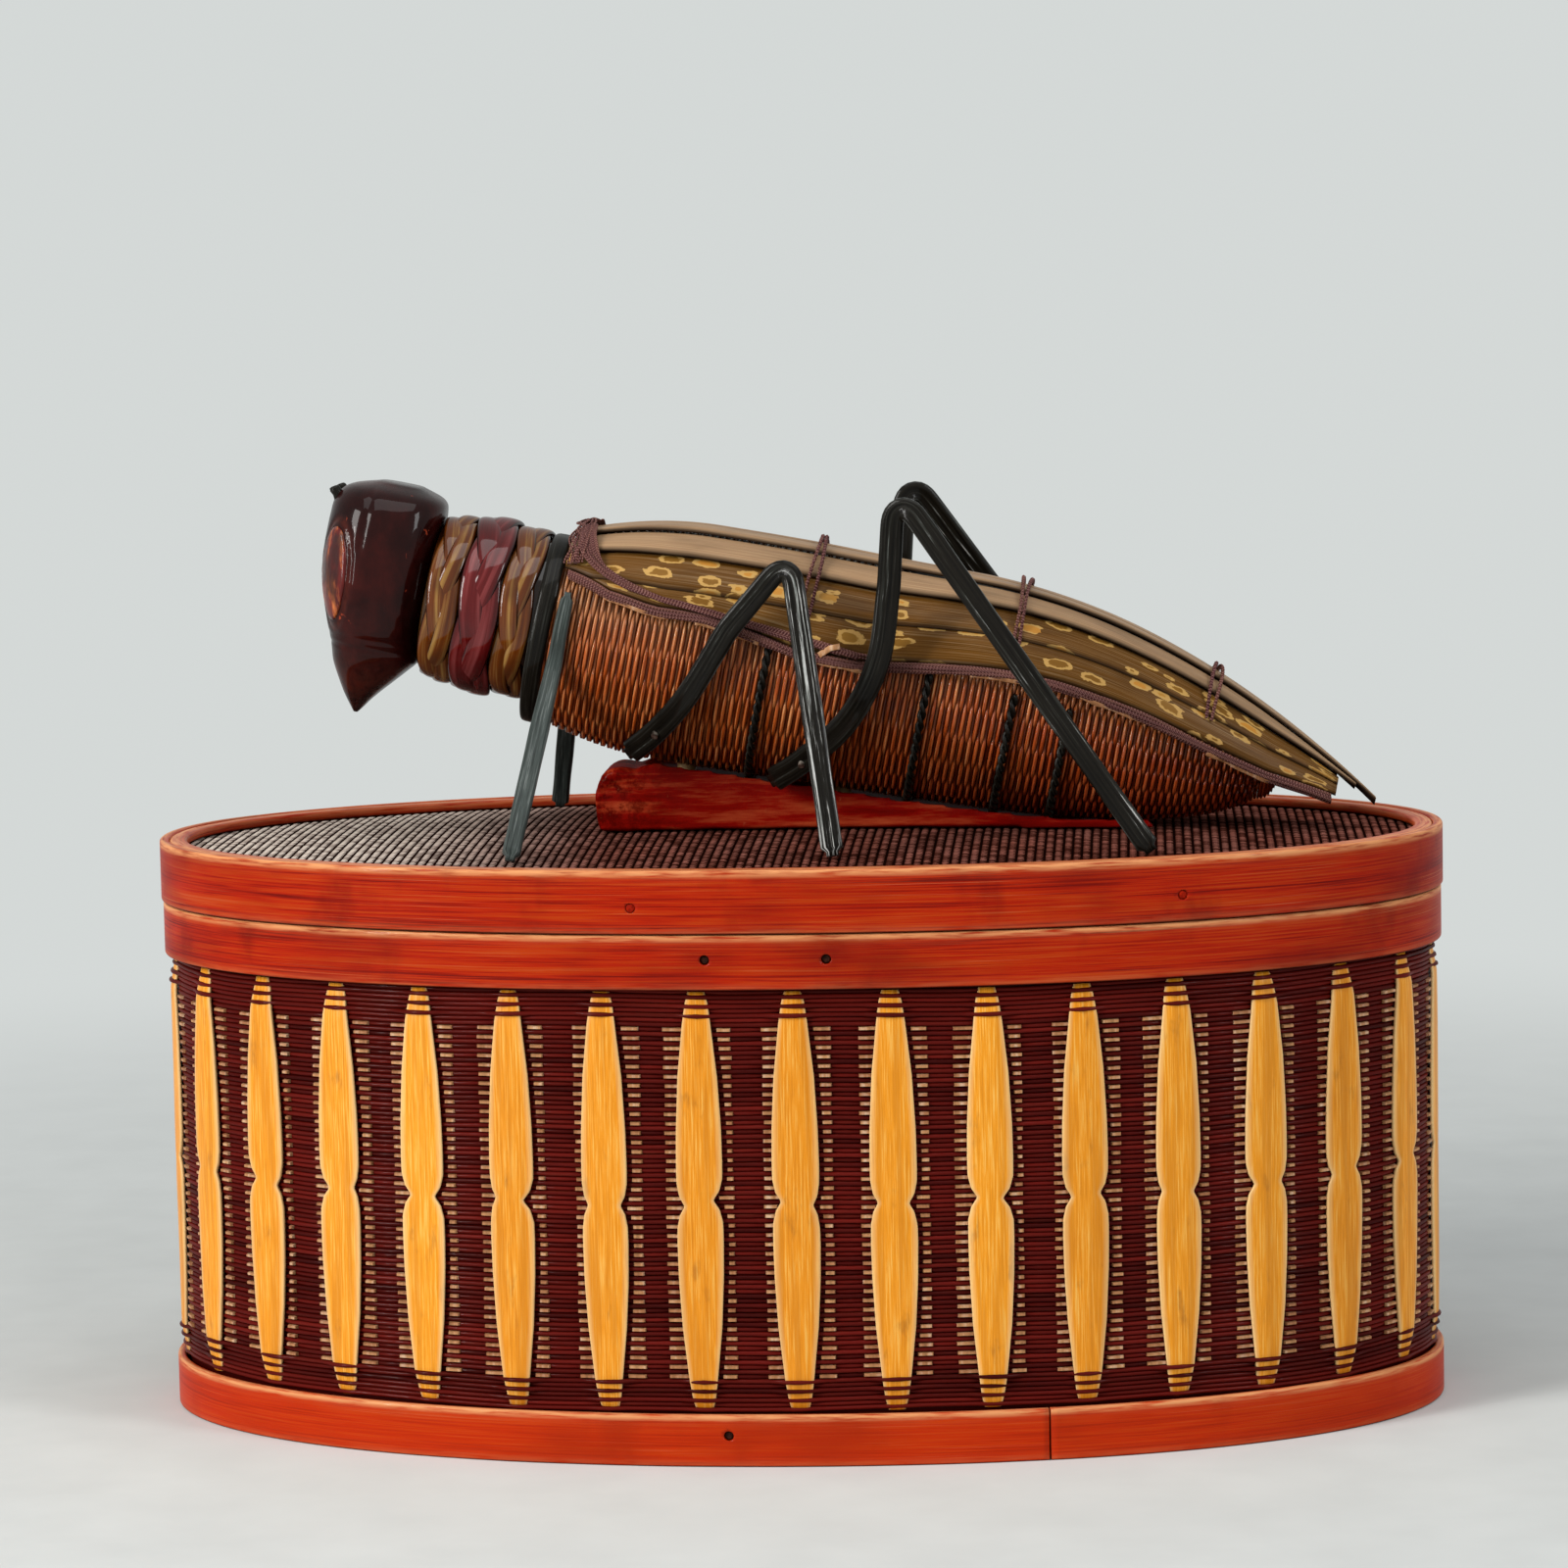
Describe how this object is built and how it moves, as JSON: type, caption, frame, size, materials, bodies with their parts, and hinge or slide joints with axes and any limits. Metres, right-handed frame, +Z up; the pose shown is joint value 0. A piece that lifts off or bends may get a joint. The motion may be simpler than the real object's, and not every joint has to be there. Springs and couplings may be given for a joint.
{
  "type": "lidded woven cricket box",
  "caption": "Oval woven bamboo cricket box with lacquered bands and a lift-off lid, whose handle is a woven bamboo cricket with folded wings and bent-strip legs.",
  "frame": {"origin": "middle of the oval foot, on the table", "axes": "+X along the box towards the cricket's tail, +Z up, and -Y the front that the picture shows"},
  "size_m": [0.28, 0.148, 0.2037],
  "materials": {
    "lacquer_band": "worn red-orange lacquer over bamboo",
    "plain_bamboo": "plain bamboo",
    "wall_weave": "glossy maroon split-bamboo weft over pale and dark stakes",
    "slat_bamboo": "golden varnished bamboo",
    "dark_peg": "dark bamboo peg",
    "panel_weave": "dark brown fine weave",
    "saddle_lacquer": "red lacquer on carved wood",
    "body_weave": "orange-brown fine weave",
    "dark_strand": "near-black strands",
    "neck_ochre": "glossy ochre split cane",
    "neck_red": "glossy crimson split cane",
    "head_lacquer": "glossy dark maroon lacquer on carved wood",
    "eye_red": "worn red lacquer",
    "wing_bamboo": "mottled bamboo sheath",
    "maroon_thread": "maroon thread",
    "leg_bamboo": "black-stained bamboo",
    "pin_wire": "dull wire pin"
  },
  "bodies": {
    "box": {"foot_band": "lacquer_band", "foot_hoop": "plain_bamboo", "floor_panel": "plain_bamboo", "woven_wall": "wall_weave", "front_slats": "slat_bamboo", "back_slats": "slat_bamboo", "rim_band": "lacquer_band", "rim_collar": "plain_bamboo", "box_pegs": "dark_peg"},
    "lid": {"lid_band": "lacquer_band", "lid_bead": "lacquer_band", "lid_lining": "plain_bamboo", "saddle_posts": "plain_bamboo", "lid_pegs": "dark_peg", "lid_panel": "panel_weave", "saddle": "saddle_lacquer", "cricket_body": "body_weave", "body_rings": "dark_strand", "tail_cap": "dark_strand", "chest_ring": "leg_bamboo", "neck_core": "neck_ochre", "neck_wrap_front": "neck_ochre", "neck_wrap_back": "neck_ochre", "neck_wrap_red": "neck_red", "head": "head_lacquer", "left_eye": "eye_red", "right_eye": "eye_red", "antenna_stubs": "leg_bamboo", "wing_ridge": "wing_bamboo", "left_wing_shoulder": "wing_bamboo", "right_wing_shoulder": "wing_bamboo", "left_wing_side": "wing_bamboo", "right_wing_side": "wing_bamboo", "left_wing_cord": "maroon_thread", "right_wing_cord": "maroon_thread", "wing_lashing": "maroon_thread", "wing_ties": "maroon_thread", "left_front_leg": "leg_bamboo", "right_front_leg": "leg_bamboo", "left_middle_leg": "leg_bamboo", "right_middle_leg": "leg_bamboo", "left_hind_leg": "leg_bamboo", "right_hind_leg": "leg_bamboo", "hip_pins": "pin_wire"}
  },
  "joints": [
    {"name": "lid_lift", "type": "slide", "parent": "box", "child": "lid", "axis": [0, 0, 1], "range_m": [0, 0.15]}
  ]
}
